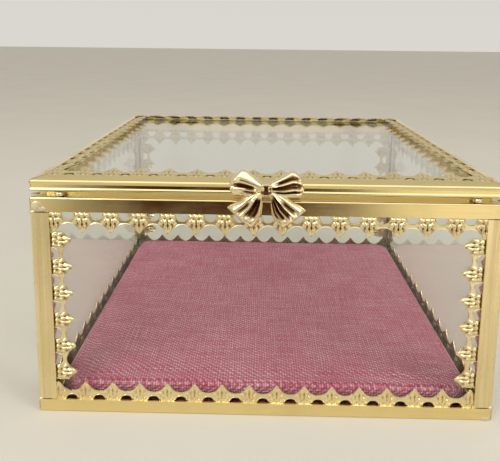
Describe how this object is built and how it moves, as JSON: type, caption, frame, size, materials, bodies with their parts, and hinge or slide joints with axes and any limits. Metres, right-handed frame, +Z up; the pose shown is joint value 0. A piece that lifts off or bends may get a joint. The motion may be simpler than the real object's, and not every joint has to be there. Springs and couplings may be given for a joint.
{
  "type": "jewelry box",
  "caption": "Square clear-glass jewelry box in a folded brass frame with stamped lace trim, hinged glass lid, cast bow pull and a linen pad on the floor.",
  "frame": {"origin": "middle of the box, on the surface it stands on", "axes": "+Z up, the front with the bow pull faces -Y, hinges at +Y, +X to the right seen from the front"},
  "size_m": [0.15, 0.1566, 0.0837],
  "materials": {
    "brass_sheet": "polished, lightly lacquered",
    "brass_lace": "stamped, bright on the relief",
    "brass_cast": "polished casting",
    "clear_glass": "clear float glass",
    "card": "stiff grey board",
    "foam": "thin padding",
    "pink_linen": "dusty pink plain-weave linen"
  },
  "bodies": {
    "base": {"bottom_rail_front": "brass_sheet", "bottom_rail_right": "brass_sheet", "bottom_rail_back": "brass_sheet", "bottom_rail_left": "brass_sheet", "top_rail_front": "brass_sheet", "top_rail_right": "brass_sheet", "top_rail_back": "brass_sheet", "top_rail_left": "brass_sheet", "corner_post_1": "brass_sheet", "corner_post_2": "brass_sheet", "corner_post_3": "brass_sheet", "corner_post_4": "brass_sheet", "lid_rest_left": "brass_sheet", "lid_rest_right": "brass_sheet", "wall_glass_front": "clear_glass", "wall_glass_right": "clear_glass", "wall_glass_back": "clear_glass", "wall_glass_left": "clear_glass", "floor_glass": "clear_glass", "lace_front_bottom": "brass_lace", "lace_front_top": "brass_lace", "lace_front_post_a": "brass_lace", "lace_front_post_b": "brass_lace", "lace_right_bottom": "brass_lace", "lace_right_top": "brass_lace", "lace_right_post_a": "brass_lace", "lace_right_post_b": "brass_lace", "lace_back_bottom": "brass_lace", "lace_back_top": "brass_lace", "lace_back_post_a": "brass_lace", "lace_back_post_b": "brass_lace", "lace_left_bottom": "brass_lace", "lace_left_top": "brass_lace", "lace_left_post_a": "brass_lace", "lace_left_post_b": "brass_lace", "hinge_base_leaf_left": "brass_sheet", "hinge_base_leaf_right": "brass_sheet", "hinge_pin_left": "brass_sheet", "hinge_pin_right": "brass_sheet", "pad_board": "card", "pad_foam": "foam", "pad_cover": "pink_linen"},
    "lid": {"lid_rail_front": "brass_sheet", "lid_rail_right": "brass_sheet", "lid_rail_back": "brass_sheet", "lid_rail_left": "brass_sheet", "lid_glass": "clear_glass", "lace_lid_front": "brass_lace", "lace_lid_right": "brass_lace", "lace_lid_back": "brass_lace", "lace_lid_left": "brass_lace", "bow_pull": "brass_cast", "hinge_lid_leaf_left": "brass_sheet", "hinge_lid_leaf_right": "brass_sheet"}
  },
  "joints": [
    {"name": "lid_hinge", "type": "hinge", "parent": "base", "child": "lid", "pos_m": [0, 0.0768, 0.07475], "axis": [-1, 0, 0], "range_deg": [0, 100]}
  ]
}
